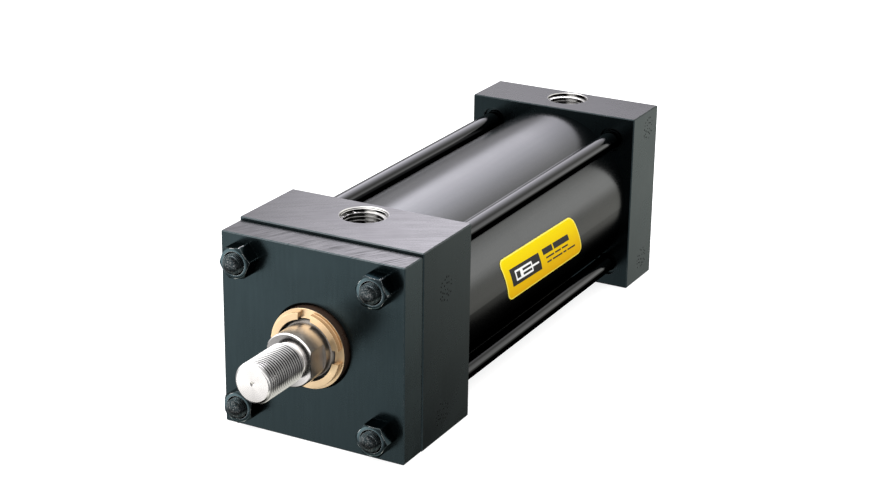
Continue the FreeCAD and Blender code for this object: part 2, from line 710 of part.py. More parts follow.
def check_and_write():
    """Stop on any failed object or bad shape, then write one file per node."""
    failed = [item.Name for item in doc.Objects if {"Invalid", "Error"} & set(item.State)]
    if failed:
        raise RuntimeError(f"failed objects: {failed}")
    os.makedirs("parts", exist_ok=True)
    for name in NODES:
        shape = doc.getObject(name).Shape
        if shape.isNull() or not shape.isValid():
            raise RuntimeError(f"bad shape: {name}")
        shape.exportStep(f"parts/{name}.step")
        box = shape.BoundBox
        print(f"{name}: {len(shape.Solids)} solids, {shape.Volume:.1f} mm3, "
              f"y {box.YMin:.2f} to {box.YMax:.2f}, z {box.ZMin:.2f} to {box.ZMax:.2f}")


build()
check_and_write()
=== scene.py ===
import json
import math
import random

import bmesh
import bpy
import numpy as np
from mathutils import Matrix, Vector


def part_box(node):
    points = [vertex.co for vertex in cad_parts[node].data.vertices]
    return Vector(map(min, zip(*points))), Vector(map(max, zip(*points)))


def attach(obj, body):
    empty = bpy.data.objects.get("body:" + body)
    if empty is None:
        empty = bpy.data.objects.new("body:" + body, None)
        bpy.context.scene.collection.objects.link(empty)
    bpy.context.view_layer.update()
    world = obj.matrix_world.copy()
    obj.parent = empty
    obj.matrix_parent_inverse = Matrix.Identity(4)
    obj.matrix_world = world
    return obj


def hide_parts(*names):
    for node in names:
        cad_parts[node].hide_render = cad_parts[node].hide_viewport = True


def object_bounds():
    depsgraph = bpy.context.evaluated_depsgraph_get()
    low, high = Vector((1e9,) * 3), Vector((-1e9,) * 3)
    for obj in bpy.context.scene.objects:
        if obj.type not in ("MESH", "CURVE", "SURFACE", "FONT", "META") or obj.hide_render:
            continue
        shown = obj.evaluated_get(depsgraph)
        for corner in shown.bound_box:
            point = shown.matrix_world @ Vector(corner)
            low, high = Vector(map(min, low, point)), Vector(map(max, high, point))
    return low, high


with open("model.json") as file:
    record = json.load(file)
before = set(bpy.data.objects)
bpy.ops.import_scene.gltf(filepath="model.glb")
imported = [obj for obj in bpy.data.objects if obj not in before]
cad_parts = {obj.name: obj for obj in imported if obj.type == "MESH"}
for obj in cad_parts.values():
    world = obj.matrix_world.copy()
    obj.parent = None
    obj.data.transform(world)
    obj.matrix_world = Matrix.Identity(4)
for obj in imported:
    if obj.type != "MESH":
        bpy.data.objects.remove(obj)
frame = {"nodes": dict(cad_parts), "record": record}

# The looks of a square-head tie-rod pneumatic cylinder, in metres and in the CAD's frame: the rod lies
# along the Y axis and points to -Y, the ports face +Z, and the origin is in the retainer plate's front face.

CAD_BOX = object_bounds()
MM = 0.001
INCH = 25.4 * MM
CYLINDER, ROD = "cylinder_body", "rod_and_piston"

BLACK_OXIDE = (0.028, 0.041, 0.045)
BARE_STEEL = (0.40, 0.39, 0.38)
MACHINED_TINT = (1.0, 0.97, 1.0)
# Directions out from an axis: the painted highlight on turned end faces, and the painted streak in ports.
SHEEN = (0.94, 0.0, -0.34)
STREAK_SIDE = (-0.208, 0.978, 0.0)

TIE_ROD_RADIUS = 3 / 16 * INCH
TIE_ROD_PITCH = INCH / 24
TIE_ROD_THREADED = 26 * MM
NUT_FLATS = 9 / 16 * INCH
NUT_FACE = 6.9 * MM
NUT_TURNS = {"head_tie_rod_nuts": (-5.0, 8.5, 28.0, -3.0), "cap_tie_rod_nuts": (12.0, -9.0, 3.0, 24.0)}
ROD_PITCH = INCH / 16
PORT_PITCH = INCH / 14
PORT_CREST, PORT_OUTER = 9.35 * MM, 10.57 * MM
HEAD_MOUTH = 11.5 * MM
CAP_MOUTH = 10.9 * MM
WIPER_RUBBED = 13.45 * MM


# ---------------------------------------------------------------------------------------------- materials

class Shader:
    """One node material on a Principled surface, built up by short calls."""

    def __init__(self, name):
        self.material = bpy.data.materials.new(name)
        self.material.use_nodes = True
        self.tree = self.material.node_tree
        self.surface = self.tree.nodes["Principled BSDF"]
        self.place = self.add("ShaderNodeTexCoord").outputs["Object"]

    def add(self, kind, inputs=None, **settings):
        """A new node, with its inputs set or linked by name or number."""
        node = self.tree.nodes.new(kind)
        for name, value in settings.items():
            setattr(node, name, value)
        for name, value in (inputs or {}).items():
            self.put(node.inputs[name], value)
        return node

    def put(self, socket, value):
        """Link an output to an input socket, or set the input's value."""
        if isinstance(value, bpy.types.NodeSocket):
            self.tree.links.new(value, socket)
        else:
            socket.default_value = value

    def set(self, **inputs):
        """Set or link the surface's own inputs."""
        for name, value in inputs.items():
            self.put(self.surface.inputs[name.replace("_", " ")], value)

    def math(self, operation, a, b=0.0, c=0.0):
        node = self.add("ShaderNodeMath", {0: a, 1: b, 2: c}, operation=operation)
        return node.outputs[0]

    def times(self, a, b):
        return self.math("MULTIPLY", a, b)

    def vector(self, operation, a, b=(0.0, 0.0, 0.0)):
        """Vector maths; a length, distance or dot product comes back as a number."""
        node = self.add("ShaderNodeVectorMath", {0: a, 1: b}, operation=operation)
        return node.outputs["Value" if operation in ("LENGTH", "DISTANCE", "DOT_PRODUCT") else "Vector"]

    def stretch(self, scale):
        return self.add("ShaderNodeMapping", {"Vector": self.place, "Scale": scale}).outputs["Vector"]

    def noise(self, scale, detail=4.0, roughness=0.55, place=None):
        node = self.add("ShaderNodeTexNoise", {
            "Vector": place or self.place, "Scale": scale, "Detail": detail, "Roughness": roughness})
        return node.outputs["Fac"]

    def ramp(self, value, low, high, from_low=0.0, from_high=1.0):
        """Map a value linearly, clamped at both ends."""
        node = self.add("ShaderNodeMapRange", {
            "Value": value, "From Min": from_low, "From Max": from_high, "To Min": low, "To Max": high})
        return node.outputs["Result"]

    def mix(self, factor, first, second):
        node = self.add("ShaderNodeMix", data_type="RGBA")
        self.put(node.inputs["Factor"], factor)
        self.put(node.inputs[6], first)
        self.put(node.inputs[7], second)
        return node.outputs[2]

    def bump(self, height, distance, strength):
        node = self.add("ShaderNodeBump", {"Height": height, "Distance": distance, "Strength": strength})
        return node.outputs["Normal"]

    def axis_parts(self):
        node = self.add("ShaderNodeSeparateXYZ", {"Vector": self.place})
        return node.outputs["X"], node.outputs["Y"], node.outputs["Z"]

    def facing(self, axis):
        """How far the surface faces along an axis: 1 when it faces straight along it."""
        normal = self.add("ShaderNodeNewGeometry").outputs["Normal"]
        return self.add("ShaderNodeSeparateXYZ", {"Vector": normal}).outputs[axis]

    def end_facing(self):
        """1 on faces across the Y axis, 0 on faces along it."""
        return self.math("ABSOLUTE", self.facing("Y"))

    def edges(self, radius, reach=0.12):
        """1 on edges, 0 on open faces: how far the normal turns within a radius, full at the reach."""
        rounded = self.add("ShaderNodeBevel", {"Radius": radius}, samples=6).outputs["Normal"]
        normal = self.add("ShaderNodeNewGeometry").outputs["Normal"]
        return self.ramp(self.vector("DOT_PRODUCT", rounded, normal), 1.0, 0.0, 1.0 - reach, 1.0)

    def radius(self):
        """Distance from the rod axis."""
        return self.vector("LENGTH", self.vector("MULTIPLY", self.place, (1.0, 0.0, 1.0)))


def grey(value, tint=(1.0, 1.0, 1.0)):
    return tuple(value * part for part in tint) + (1.0,)


def shade(color, factor):
    return tuple(factor * part for part in color) + (1.0,)


def cutter_marks(shader, centre, spacing):
    """Arcs left by a wide cutter, uneven in width and depth: noise of the distance from a far centre."""
    away = shader.vector("DISTANCE", shader.place, centre)
    step = shader.math("MULTIPLY", away, 1 / spacing)
    ring = shader.add("ShaderNodeCombineXYZ", {"X": step}).outputs["Vector"]
    path = shader.vector("ADD", ring, shader.stretch((70.0, 70.0, 70.0)))
    return shader.ramp(shader.noise(1.0, 3.0, 0.6, path), 0.0, 1.0, 0.36, 0.64)


def block_steel(name, marks, light_tones, port=None, mouth=0.0):
    """Black-oxide steel: cutter arcs on the top, upright grinding elsewhere, edge wear in bare steel that is
    partly painted edge highlights, and a bare port chamfer with a thin line of painted shade. marks: the
    arcs' centre, spacing and depth. light_tones are painted light: they scale the front and side faces and
    set the top's brightness, which is painted light, patchy and rising towards +X."""
    mark_centre, mark_spacing, mark_depth = marks
    front_light, side_light, top_light = light_tones
    shader = Shader(name)
    cloud = shader.noise(38.0, 6.0, 0.6)
    grain = shader.noise(900.0, 3.0, 0.7)
    top = shader.ramp(shader.facing("Z"), 0.0, 1.0, 0.6, 0.9)
    ground = shader.noise(1.0, 4.0, 0.6, shader.stretch((700.0, 700.0, 45.0)))
    # Painted light: the front and side faces get their own brightness, with faint grinding streaks.
    light_and_grind = shader.ramp(shader.facing("X"), front_light, side_light, 0.6, 0.9)
    light_and_grind = shader.times(shader.ramp(ground, 0.95, 1.05, 0.35, 0.65), light_and_grind)
    toned = shader.add("ShaderNodeVectorMath", {0: BLACK_OXIDE, "Scale": light_and_grind}, operation="SCALE")
    plain = toned.outputs["Vector"]
    broken = shader.ramp(shader.noise(110.0, 4.0), 0.45, 1.0, 0.3, 0.7)
    cut = shader.times(shader.times(cutter_marks(shader, mark_centre, mark_spacing), broken), mark_depth)
    across, _, _ = shader.axis_parts()
    # The top's brightness is painted light: patchy, and rising towards +X.
    patches_and_top_light = shader.times(shader.ramp(cloud, 0.67, 1.0), shader.ramp(across, 0.5, 1.0, -45 * MM, 45 * MM))
    machined = shader.mix(patches_and_top_light, grey(0.0), grey(1.2 * top_light, MACHINED_TINT))
    color = shader.mix(top, plain, shader.mix(cut, machined, grey(0.004)))
    # Edge wear in bare steel: partly real, partly painted edge highlights.
    wear_and_glint = shader.times(shader.edges(0.3 * MM), shader.ramp(shader.noise(260.0, 5.0), 0.0, 0.3, 0.4, 0.7))
    color = shader.mix(wear_and_glint, color, shade(BARE_STEEL, 0.8))
    if port:
        span = shader.vector("DISTANCE", shader.place, port)
        bare = shader.ramp(span, 1.0, 0.0, mouth - 0.05 * MM, mouth + 0.1 * MM)
        # A thin line of painted shade in the bare chamfer.
        dark_ring = shader.times(shader.math("COMPARE", span, mouth - 0.55 * MM, 0.17 * MM), 0.9)
        color = shader.mix(bare, color, shade(BARE_STEEL, 1.5))
        color = shader.mix(dark_ring, color, grey(0.01))
    top_cut = shader.times(cut, top)
    rough = shader.math("ADD", shader.ramp(cloud, 0.23, 0.30, 0.3, 0.7), shader.ramp(grain, -0.02, 0.02))
    rough = shader.math("MULTIPLY_ADD", top_cut, 0.12, rough)
    relief = shader.math("MULTIPLY_ADD", top_cut, -2.0, ground)
    shader.set(Base_Color=color, Metallic=1.0, Roughness=rough, Normal=shader.bump(relief, 0.006 * MM, 0.5))
    return shader.material


def drawn_steel(name, dark, rough, black_below, clear_above, dim_from=None):
    """Drawn bar or tube: dark oxide over faint lines along the Y axis, a soft cloud, and painted shade on the
    underside, in colour and specular tint, which is fully black where the surface's upward part is below
    black_below, and untouched above clear_above. From dim_from on, painted shade makes the top a little
    dimmer towards the cap."""
    shader = Shader(name)
    cloud = shader.noise(26.0, 5.0, 0.6)
    fine = shader.noise(1.0, 3.0, 0.6, shader.stretch((420.0, 9.0, 420.0)))
    grain = shader.noise(1100.0, 3.0, 0.7)
    base = shader.mix(cloud, grey(dark * 0.88, (0.95, 1.0, 1.03)), grey(dark * 1.12, (0.98, 1.0, 1.02)))
    base = shader.mix(shader.ramp(fine, 0.0, 0.35, 0.4, 0.7), base, grey(dark * 1.25))
    base = shader.mix(shader.ramp(grain, 0.0, 0.3, 0.4, 0.7), base, grey(dark * 0.6))
    upward = shader.facing("Z")
    # Painted shade: the underside is dark in colour and in specular tint.
    lit = shader.ramp(upward, 0.0, 1.0, black_below, clear_above)
    if dim_from is not None:
        _, along, _ = shader.axis_parts()
        # Painted shade: the top dims towards the cap.
        painted_dimming = shader.ramp(along, 0.0, 0.22, dim_from, dim_from + 50 * MM)
        lit = shader.math("SUBTRACT", lit, shader.times(painted_dimming, shader.ramp(upward, 0.0, 1.0, 0.5, 0.85)))
    shader.set(Base_Color=shader.mix(lit, grey(dark * 0.1), base), Metallic=1.0)
    shader.set(Specular_Tint=shader.mix(lit, grey(0.0), grey(1.0)))
    shader.set(Roughness=shader.ramp(cloud, rough - 0.02, rough + 0.03, 0.3, 0.7))
    shader.set(Normal=shader.bump(grain, 0.0025 * MM, 0.4))
    return shader.material


def rolled_thread():
    """Black rolled threads with bright crests of edge wear, partly painted highlights, and tips speckled
    with bare steel, partly a painted highlight.
    """
    shader = Shader("rolled_thread")
    cloud = shader.noise(500.0, 4.0, 0.6)
    base = shader.mix(cloud, shade(BLACK_OXIDE, 0.4), shade(BLACK_OXIDE, 0.9))
    # Bare speckles on the tips: partly real, partly a painted highlight.
    speckle_and_glint = shader.ramp(shader.noise(1500.0, 3.0, 0.7), 0.0, 0.35, 0.5, 0.66)
    speckle_and_glint = shader.times(speckle_and_glint, shader.ramp(shader.end_facing(), 0.0, 1.0, 0.9, 1.0))
    # Edge wear on crests and tips: partly real, partly painted highlights.
    wear_and_glint = shader.times(shader.edges(0.12 * MM, 0.1), shader.ramp(cloud, 0.1, 0.5, 0.3, 0.6))
    color = shader.mix(speckle_and_glint, base, shade(BARE_STEEL, 1.2))
    shader.set(Base_Color=shader.mix(wear_and_glint, color, shade(BARE_STEEL, 1.4)), Metallic=1.0)
    shader.set(Roughness=shader.ramp(cloud, 0.12, 0.22), Normal=shader.bump(cloud, 0.01 * MM, 0.3))
    return shader.material


def nut_steel():
    """Glossy black nuts with paler crown faces, bright corners of edge wear that are partly painted
    highlights, and faint forging marks.
    """
    shader = Shader("nut_steel")
    cloud = shader.noise(240.0, 5.0, 0.6)
    base = shader.mix(cloud, shade(BLACK_OXIDE, 0.3), shade(BLACK_OXIDE, 0.7))
    crown = shader.mix(cloud, shade(BLACK_OXIDE, 1.7), shade(BLACK_OXIDE, 2.6))
    base = shader.mix(shader.ramp(shader.end_facing(), 0.0, 1.0, 0.9, 0.98), base, crown)
    # Edge wear on the corners: partly real, partly painted highlights.
    wear_and_glint = shader.times(shader.edges(0.18 * MM, 0.06), shader.ramp(cloud, 0.45, 0.9, 0.3, 0.6))
    shader.set(Base_Color=shader.mix(wear_and_glint, base, shade(BARE_STEEL, 2.0)), Metallic=1.0)
    shader.set(Specular_Tint=shader.mix(wear_and_glint, grey(0.45), grey(1.0)))
    shader.set(Roughness=shader.ramp(cloud, 0.10, 0.20, 0.3, 0.7))
    shader.set(Normal=shader.bump(cloud, 0.02 * MM, 0.35))
    return shader.material


def turned_metal(name, low, high, rough, spacing, contrast, root=None, side_shading=None, shade_ring=None):
    """Lathe-turned metal with rings round the rod axis, and a painted highlight across its end faces: a
    bright wedge along SHEEN, the rest of the face darkened. Optional: painted shade in thread roots, dark
    below a radius and behind a place along the axis; painted light and shade for the gland's bore, step and
    rim walls, which are left unmetallic; and a ring of painted shade between two radii, lighter towards +X."""
    shader = Shader(name)
    radius = shader.radius()
    end_face = shader.ramp(shader.end_facing(), 0.0, 1.0, 0.3, 0.7)
    wander = shader.ramp(shader.noise(300.0, 2.0), -0.1 * MM, 0.1 * MM)
    turns = shader.times(shader.math("ADD", radius, wander), 2 * math.pi / spacing)
    rings = shader.ramp(shader.math("SINE", turns), 0.0, contrast, -1.0, 1.0)
    cloud = shader.noise(160.0, 4.0, 0.6)
    color = shader.mix(cloud, low, high)
    color = shader.mix(rings, color, shader.mix(0.45, color, grey(0.05)))
    # Painted highlight: end faces are darkened except in a wedge along SHEEN.
    outward = shader.vector("NORMALIZE", shader.vector("MULTIPLY", shader.place, (1.0, 0.0, 1.0)))
    across_sheen = shader.vector("DOT_PRODUCT", outward, SHEEN)
    wedge = shader.ramp(shader.times(across_sheen, across_sheen), 0.32, 0.0, 0.15, 0.9)
    color = shader.mix(shader.times(wedge, end_face), color, shader.mix(0.5, color, grey(0.05)))
    metal = 1.0
    if root:
        floor, start = root
        _, along, _ = shader.axis_parts()
        # Painted shade in the thread roots.
        root_shade = shader.ramp(radius, 0.95, 0.0, floor, floor + 0.4 * MM)
        behind = shader.ramp(along, 0.0, 1.0, start, start + 0.5 * MM)
        color = shader.mix(shader.times(root_shade, behind), color, grey(0.012))
    if shade_ring:
        inner, outer = shade_ring
        # Painted shade on the shoulder face: a dark ring, lighter towards +X.
        past_inner = shader.ramp(radius, 0.0, 0.72, inner, inner + 1.2 * MM)
        before_outer = shader.ramp(radius, 1.0, 0.1, outer, outer + 0.25 * MM)
        across, _, _ = shader.axis_parts()
        ring = shader.times(past_inner, before_outer)
        ring = shader.times(ring, shader.ramp(across, 1.0, 0.2, 0.0, 9 * MM))
        color = shader.mix(ring, color, grey(0.05))
    if side_shading:
        bore, step, rim = side_shading
        # Painted light and shade on the gland's walls: bore, step and rim colours, with no metal.
        wall_shading = shader.mix(shader.ramp(radius, 0.0, 1.0, 15 * MM, 16 * MM), bore, step)
        wall_shading = shader.mix(shader.ramp(radius, 0.0, 1.0, 18.2 * MM, 18.6 * MM), wall_shading, rim)
        color = shader.mix(end_face, wall_shading, color)
        metal = end_face
    tangent = shader.add("ShaderNodeTangent", direction_type="RADIAL", axis="Y").outputs["Tangent"]
    shader.set(Base_Color=color, Metallic=metal, Anisotropic=0.6, Tangent=tangent)
    shader.set(Roughness=shader.ramp(cloud, rough - 0.05, rough + 0.07, 0.3, 0.7))
    shader.set(Normal=shader.bump(cloud, 0.004 * MM, 0.4))
    return shader.material


def cut_thread(name, along, top):
    """Cut metal in a port, its light painted: bright where it faces up and fading lower down, thin painted
    highlights on the crests, painted shade on the walls, and one painted streak of reflection.
    """
    shader = Shader(name)
    _, _, height = shader.axis_parts()
    film = shader.noise(400.0, 3.0)
    steel = shader.mix(film, shade(BARE_STEEL, 1.3), shade(BARE_STEEL, 1.8))
    # Painted light: bright where it faces up, fading lower down; elsewhere painted shade.
    lit = shader.ramp(shader.facing("Z"), 0.0, 1.0, 0.4, 0.75)
    lit = shader.times(lit, shader.ramp(height, 0.25, 1.0, top - 9 * MM, top - 2 * MM))
    outward = shader.vector("SUBTRACT", shader.place, (0.0, along, 0.0))
    outward = shader.vector("MULTIPLY", outward, (1.0, 1.0, 0.0))
    reach = shader.vector("LENGTH", outward)
    # Painted highlights on the crests and a painted streak of reflection, in unmetallic grey.
    crest = shader.ramp(reach, 0.55, 0.0, PORT_CREST + 0.1 * MM, PORT_CREST + 0.3 * MM)
    streak = shader.vector("DOT_PRODUCT", shader.vector("NORMALIZE", outward), STREAK_SIDE)
    streak = shader.ramp(streak, 0.0, 0.7, 0.95, 0.998)
    painted_glints = shader.math("MAXIMUM", crest, streak)
    shader.set(Base_Color=shader.mix(shader.math("MAXIMUM", lit, painted_glints), grey(0.015), steel))
    shader.set(Metallic=shader.math("SUBTRACT", 1.0, painted_glints), Roughness=shader.ramp(film, 0.12, 0.22))
    shader.set(Normal=shader.bump(film, 0.004 * MM, 0.4))
    return shader.material


def chrome():
    """Hard chrome with a faint haze round the rod."""
    shader = Shader("rod_chrome")
    haze = shader.noise(1.0, 3.0, 0.6, shader.stretch((260.0, 900.0, 260.0)))
    warm = (1.0, 0.93, 0.87)
    shader.set(Base_Color=shader.mix(haze, grey(0.44, warm), grey(0.56, warm)), Metallic=1.0)
    shader.set(Roughness=shader.ramp(haze, 0.30, 0.42, 0.3, 0.7), Normal=shader.bump(haze, 0.002 * MM, 0.3))
    return shader.material


def rubber(name, low, high, rubbed_to=None):
    """Matt rubber with a fine grain; past a radius, if one is given, it is black."""
    shader = Shader(name)
    grain = shader.noise(900.0, 5.0, 0.6)
    color = shader.mix(grain, low, high)
    if rubbed_to:
        outer = shader.ramp(shader.radius(), 0.0, 1.0, rubbed_to, rubbed_to + 0.3 * MM)
        color = shader.mix(outer, color, grey(0.01))
    shader.set(Base_Color=color, Roughness=shader.ramp(grain, 0.45, 0.62))
    shader.set(Normal=shader.bump(grain, 0.03 * MM, 0.5))
    return shader.material


def plain_surface(name, low, high, rough, scale=600.0, metallic=0.0, specular=0.5):
    """A printed, moulded or cast surface with fine mottling."""
    shader = Shader(name)
    mottle = shader.noise(scale, 4.0, 0.6)
    shader.set(Base_Color=shader.mix(mottle, low, high), Metallic=metallic, Specular_IOR_Level=specular)
    shader.set(Roughness=shader.ramp(mottle, rough - 0.06, rough + 0.06, 0.3, 0.7))
    shader.set(Normal=shader.bump(mottle, 0.01 * MM, 0.3))
    return shader.material


def label_ink():
    """The label's colour, from yellow at its top edge to orange at its bottom edge."""
    shader = Shader("label_yellow")
    _, _, up = shader.axis_parts()
    mottle = shader.noise(500.0, 3.0)
    height = shader.math("ADD", up, shader.ramp(mottle, -0.6 * MM, 0.6 * MM))
    fade = shader.ramp(height, 1.0, 0.0, -7 * MM, 13 * MM)
    shader.set(Base_Color=shader.mix(fade, (0.70, 0.54, 0.001, 1.0), (0.70, 0.38, 0.005, 1.0)))
    shader.set(Roughness=shader.ramp(mottle, 0.42, 0.52), Specular_IOR_Level=0.02)
    shader.set(Normal=shader.bump(mottle, 0.004 * MM, 0.3))
    return shader.material


# ------------------------------------------------------------------------------------------------- meshes

WELD = 1e-7
SHARP = math.radians(32)


def finish_piece(name, mesh, body, materials, replaces=None):
    """Turn a bmesh into a piece: weld, smooth with sharp edges kept, materials and body."""
    bmesh.ops.remove_doubles(mesh, verts=mesh.verts, dist=WELD)
    bmesh.ops.dissolve_degenerate(mesh, dist=WELD, edges=mesh.edges)
    bmesh.ops.recalc_face_normals(mesh, faces=mesh.faces)
    for face in mesh.faces:
        face.smooth = True
    for edge in mesh.edges:
        edge.smooth = len(edge.link_faces) == 2 and edge.calc_face_angle(0.0) < SHARP
    data = bpy.data.meshes.new(name)
    mesh.to_mesh(data)
    mesh.free()
    for material in materials:
        data.materials.append(material)
    piece = bpy.data.objects.new(name, data)
    bpy.context.scene.collection.objects.link(piece)
    flatten = piece.modifiers.new("flat_faces_stay_flat", "WEIGHTED_NORMAL")
    flatten.keep_sharp = True
    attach(piece, body)
    if replaces:
        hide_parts(replaces)
    return piece


def rounded(profile, radius, steps=3):
    """Replace each corner of a closed (radius, y) profile by a small arc; points on the axis stay."""
    points = [Vector(p) for p in profile]
    result = []
    for i, corner in enumerate(points):
        before, after = points[i - 1], points[(i + 1) % len(points)]
        a, b = before - corner, after - corner
        if corner.x < 1e-9 or a.length < 1e-9 or b.length < 1e-9:
            result.append(corner)
            continue
        reach = min(radius, 0.45 * a.length, 0.45 * b.length)
        start, end = corner + a.normalized() * reach, corner + b.normalized() * reach
        for k in range(steps + 1):
            t = k / steps
            result.append((1 - t) ** 2 * start + 2 * t * (1 - t) * corner + t ** 2 * end)
    return [(p.x, p.y) for p in result]


def angles(count):
    return [2 * math.pi * j / count for j in range(count)]


def add_strip(mesh, rings, closed=False, material=0):
    """Join rings of equal length by quads, each ring round on itself; closed joins the last to the first."""
    rows = [[mesh.verts.new(point) for point in ring] for ring in rings]
    pairs = list(zip(rows, rows[1:])) + ([(rows[-1], rows[0])] if closed else [])
    count = len(rows[0])
    for low, high in pairs:
        for j in range(count):
            k = (j + 1) % count
            face = mesh.faces.new((low[j], low[k], high[k], high[j]))
            face.material_index = material


def polar(radius, along, angle):
    return (radius * math.cos(angle), along, radius * math.sin(angle))


def add_lathe(mesh, profile, turn, closed=True, material=0):
    """Revolve a (radius, y) profile about the Y axis, over a list of angles."""
    rings = [[polar(radius, along, angle) for angle in turn] for radius, along in profile]
    add_strip(mesh, rings, closed, material)


# One thread turn as (part of the pitch, part of the depth).
THREAD_SHAPE = (
    (0.0, 0.0), (0.0625, 0.0), (0.22, 0.5), (0.375, 1.0),
    (0.5, 1.06), (0.625, 1.0), (0.78, 0.5), (0.9375, 0.0),
)
THREAD_DEPTH = 0.6134


def add_thread(mesh, turn, start, end, pitch, crest, root, limit, material=0):
    """A right-hand helical thread from start to end along Y; limit(y, r) trims the radius at any place."""
    count = len(turn)
    per_turn = len(THREAD_SHAPE)
    turns = math.ceil((end - start) / pitch) + 2
    rows = []
    for m in range(turns * per_turn + 1):
        lead, depth = THREAD_SHAPE[m % per_turn]
        row = []
        for angle in turn:
            along = start + (m // per_turn + lead - 1 - angle / (2 * math.pi)) * pitch
            along = min(max(along, start), end)
            radius = limit(along, crest + (root - crest) * depth)
            row.append(mesh.verts.new(polar(radius, along, angle)))
        rows.append(row)
    for m in range(len(rows) - 1):
        for j in range(count):
            if j + 1 < count:
                corners = (rows[m][j], rows[m + 1][j], rows[m + 1][j + 1], rows[m][j + 1])
            elif m >= per_turn:
                corners = (rows[m][j], rows[m + 1][j], rows[m + 1 - per_turn][0], rows[m - per_turn][0])
            else:
                continue
            face = mesh.faces.new(corners)
            face.material_index = material


def taper(points):
    """A function of y that runs straight between (y, radius) points."""
    places, radii = zip(*points)
    return lambda along: float(np.interp(along, places, radii))


# ------------------------------------------------------------------------------------------------- pieces

def corner_axes():
    """The four tie rod axes as (x, z), read from the tie rods' own box."""
    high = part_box("tie_rods")[1]
    x, z = high.x - TIE_ROD_RADIUS, high.z - TIE_ROD_RADIUS
    return [(x, z), (-x, z), (-x, -z), (x, -z)]


def shift(mesh, start, x, z):
    """Move the vertices made since start sideways."""
    for vert in list(mesh.verts)[start:]:
        vert.co += Vector((x, 0.0, z))


# A tie rod tip as (part of its radius, rise in mm).
TIP_DOME = ((0.0, 0.0), (0.4, 0.03), (0.7, 0.1), (0.88, 0.2), (1.0, 0.34))


def make_tie_rods(steel, threaded):
    """Four rods with rolled threads at both ends and slightly domed, chamfered tips."""
    low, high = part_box("tie_rods")
    front, back = low.y, high.y
    inner_front, inner_back = front + TIE_ROD_THREADED, back - TIE_ROD_THREADED
    root = TIE_ROD_RADIUS - THREAD_DEPTH * TIE_ROD_PITCH
    tip = root - 0.25 * MM
    lip = TIP_DOME[-1][1] * MM
    chamfer = 0.75 * MM
    trim = taper([
        (front + lip, tip), (front + chamfer, TIE_ROD_RADIUS),
        (back - chamfer, TIE_ROD_RADIUS), (back - lip, tip)])
    smooth = taper([
        (inner_front - TIE_ROD_PITCH, 0.0), (inner_front, 1.0),
        (inner_back, 1.0), (inner_back + TIE_ROD_PITCH, 0.0)])

    def limit(along, radius):
        return min(radius + (TIE_ROD_RADIUS - radius) * smooth(along), trim(along))

    turn = angles(56)
    front_dome = [(part * tip, front + rise * MM) for part, rise in TIP_DOME]
    back_dome = [(part * tip, back - rise * MM) for part, rise in reversed(TIP_DOME)]
    plain = [(TIE_ROD_RADIUS, inner_front), (TIE_ROD_RADIUS, inner_back)]
    mesh = bmesh.new()
    for x, z in corner_axes():
        first = len(mesh.verts)
        add_lathe(mesh, front_dome, turn, closed=False)
        add_thread(mesh, turn, front + lip, inner_front, TIE_ROD_PITCH, TIE_ROD_RADIUS, root, limit)
        add_lathe(mesh, plain, turn, closed=False, material=1)
        add_thread(mesh, turn, inner_back, back - lip, TIE_ROD_PITCH, TIE_ROD_RADIUS, root, limit)
        add_lathe(mesh, back_dome, turn, closed=False)
        shift(mesh, first, x, z)
    return finish_piece(
        "threaded_tie_rods", mesh, CYLINDER, [threaded, steel], "tie_rods")


def hexagon_radius(angle, flats, corner):
    """Distance from a hexagon's centre to its edge, with its corners rounded."""
    sector = math.pi / 3
    off_corner = (angle + sector / 2) % sector - sector / 2
    apothem = flats / 2
    plain = apothem / math.cos(sector / 2 - abs(off_corner))
    centre = (apothem - corner) / math.cos(sector / 2)
    inside = corner ** 2 - (centre * math.sin(off_corner)) ** 2
    if inside <= 0:
        return plain
    return min(plain, centre * math.cos(off_corner) + math.sqrt(inside))


def make_nuts(node, facing, steel):
    """Hexagon nuts with rounded corners, a chamfered crown arched over each flat, and a dished mouth."""
    low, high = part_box(node)
    thick = high.y - low.y
    base = high.y if facing < 0 else low.y
    corner, soft = 0.5 * MM, 0.16 * MM
    dish = 0.75 * MM
    bore = TIE_ROD_RADIUS + 0.02 * MM
    mouth = bore + dish
    slope = 1 / math.sqrt(3)
    turn = angles(240)
    mesh = bmesh.new()
    for (x, z), turned in zip(corner_axes(), NUT_TURNS[node]):
        first = len(mesh.verts)
        outline = [hexagon_radius(angle - math.radians(turned), NUT_FLATS, corner) for angle in turn]
        crest = [thick - max(0.0, radius - NUT_FACE) * slope for radius in outline]
        levels = (
            [(bore, 0.0)] * len(turn),
            [(radius - soft, 0.0) for radius in outline],
            [(radius, soft) for radius in outline],
            [(radius, top - 1.2 * soft) for radius, top in zip(outline, crest)],
            [(radius - 0.25 * soft, top - 0.35 * soft) for radius, top in zip(outline, crest)],
            [(radius - 1.1 * soft, top + 0.45 * soft) for radius, top in zip(outline, crest)],
            [(NUT_FACE + soft, thick - soft * slope)] * len(turn),
            [(NUT_FACE - soft, thick)] * len(turn),
            [(mouth + 0.3 * soft, thick)] * len(turn),
            [(mouth - 0.5 * soft, thick - 0.6 * soft)] * len(turn),
            [(bore, thick - dish)] * len(turn),
        )
        rings = []
        for level in levels:
            points = zip(level, turn)
            rings.append([polar(radius, base + facing * rise, angle) for (radius, rise), angle in points])
        add_strip(mesh, rings, closed=True)
        shift(mesh, first, x, z)
    return finish_piece(f"hex_{node}", mesh, CYLINDER, [steel], node)


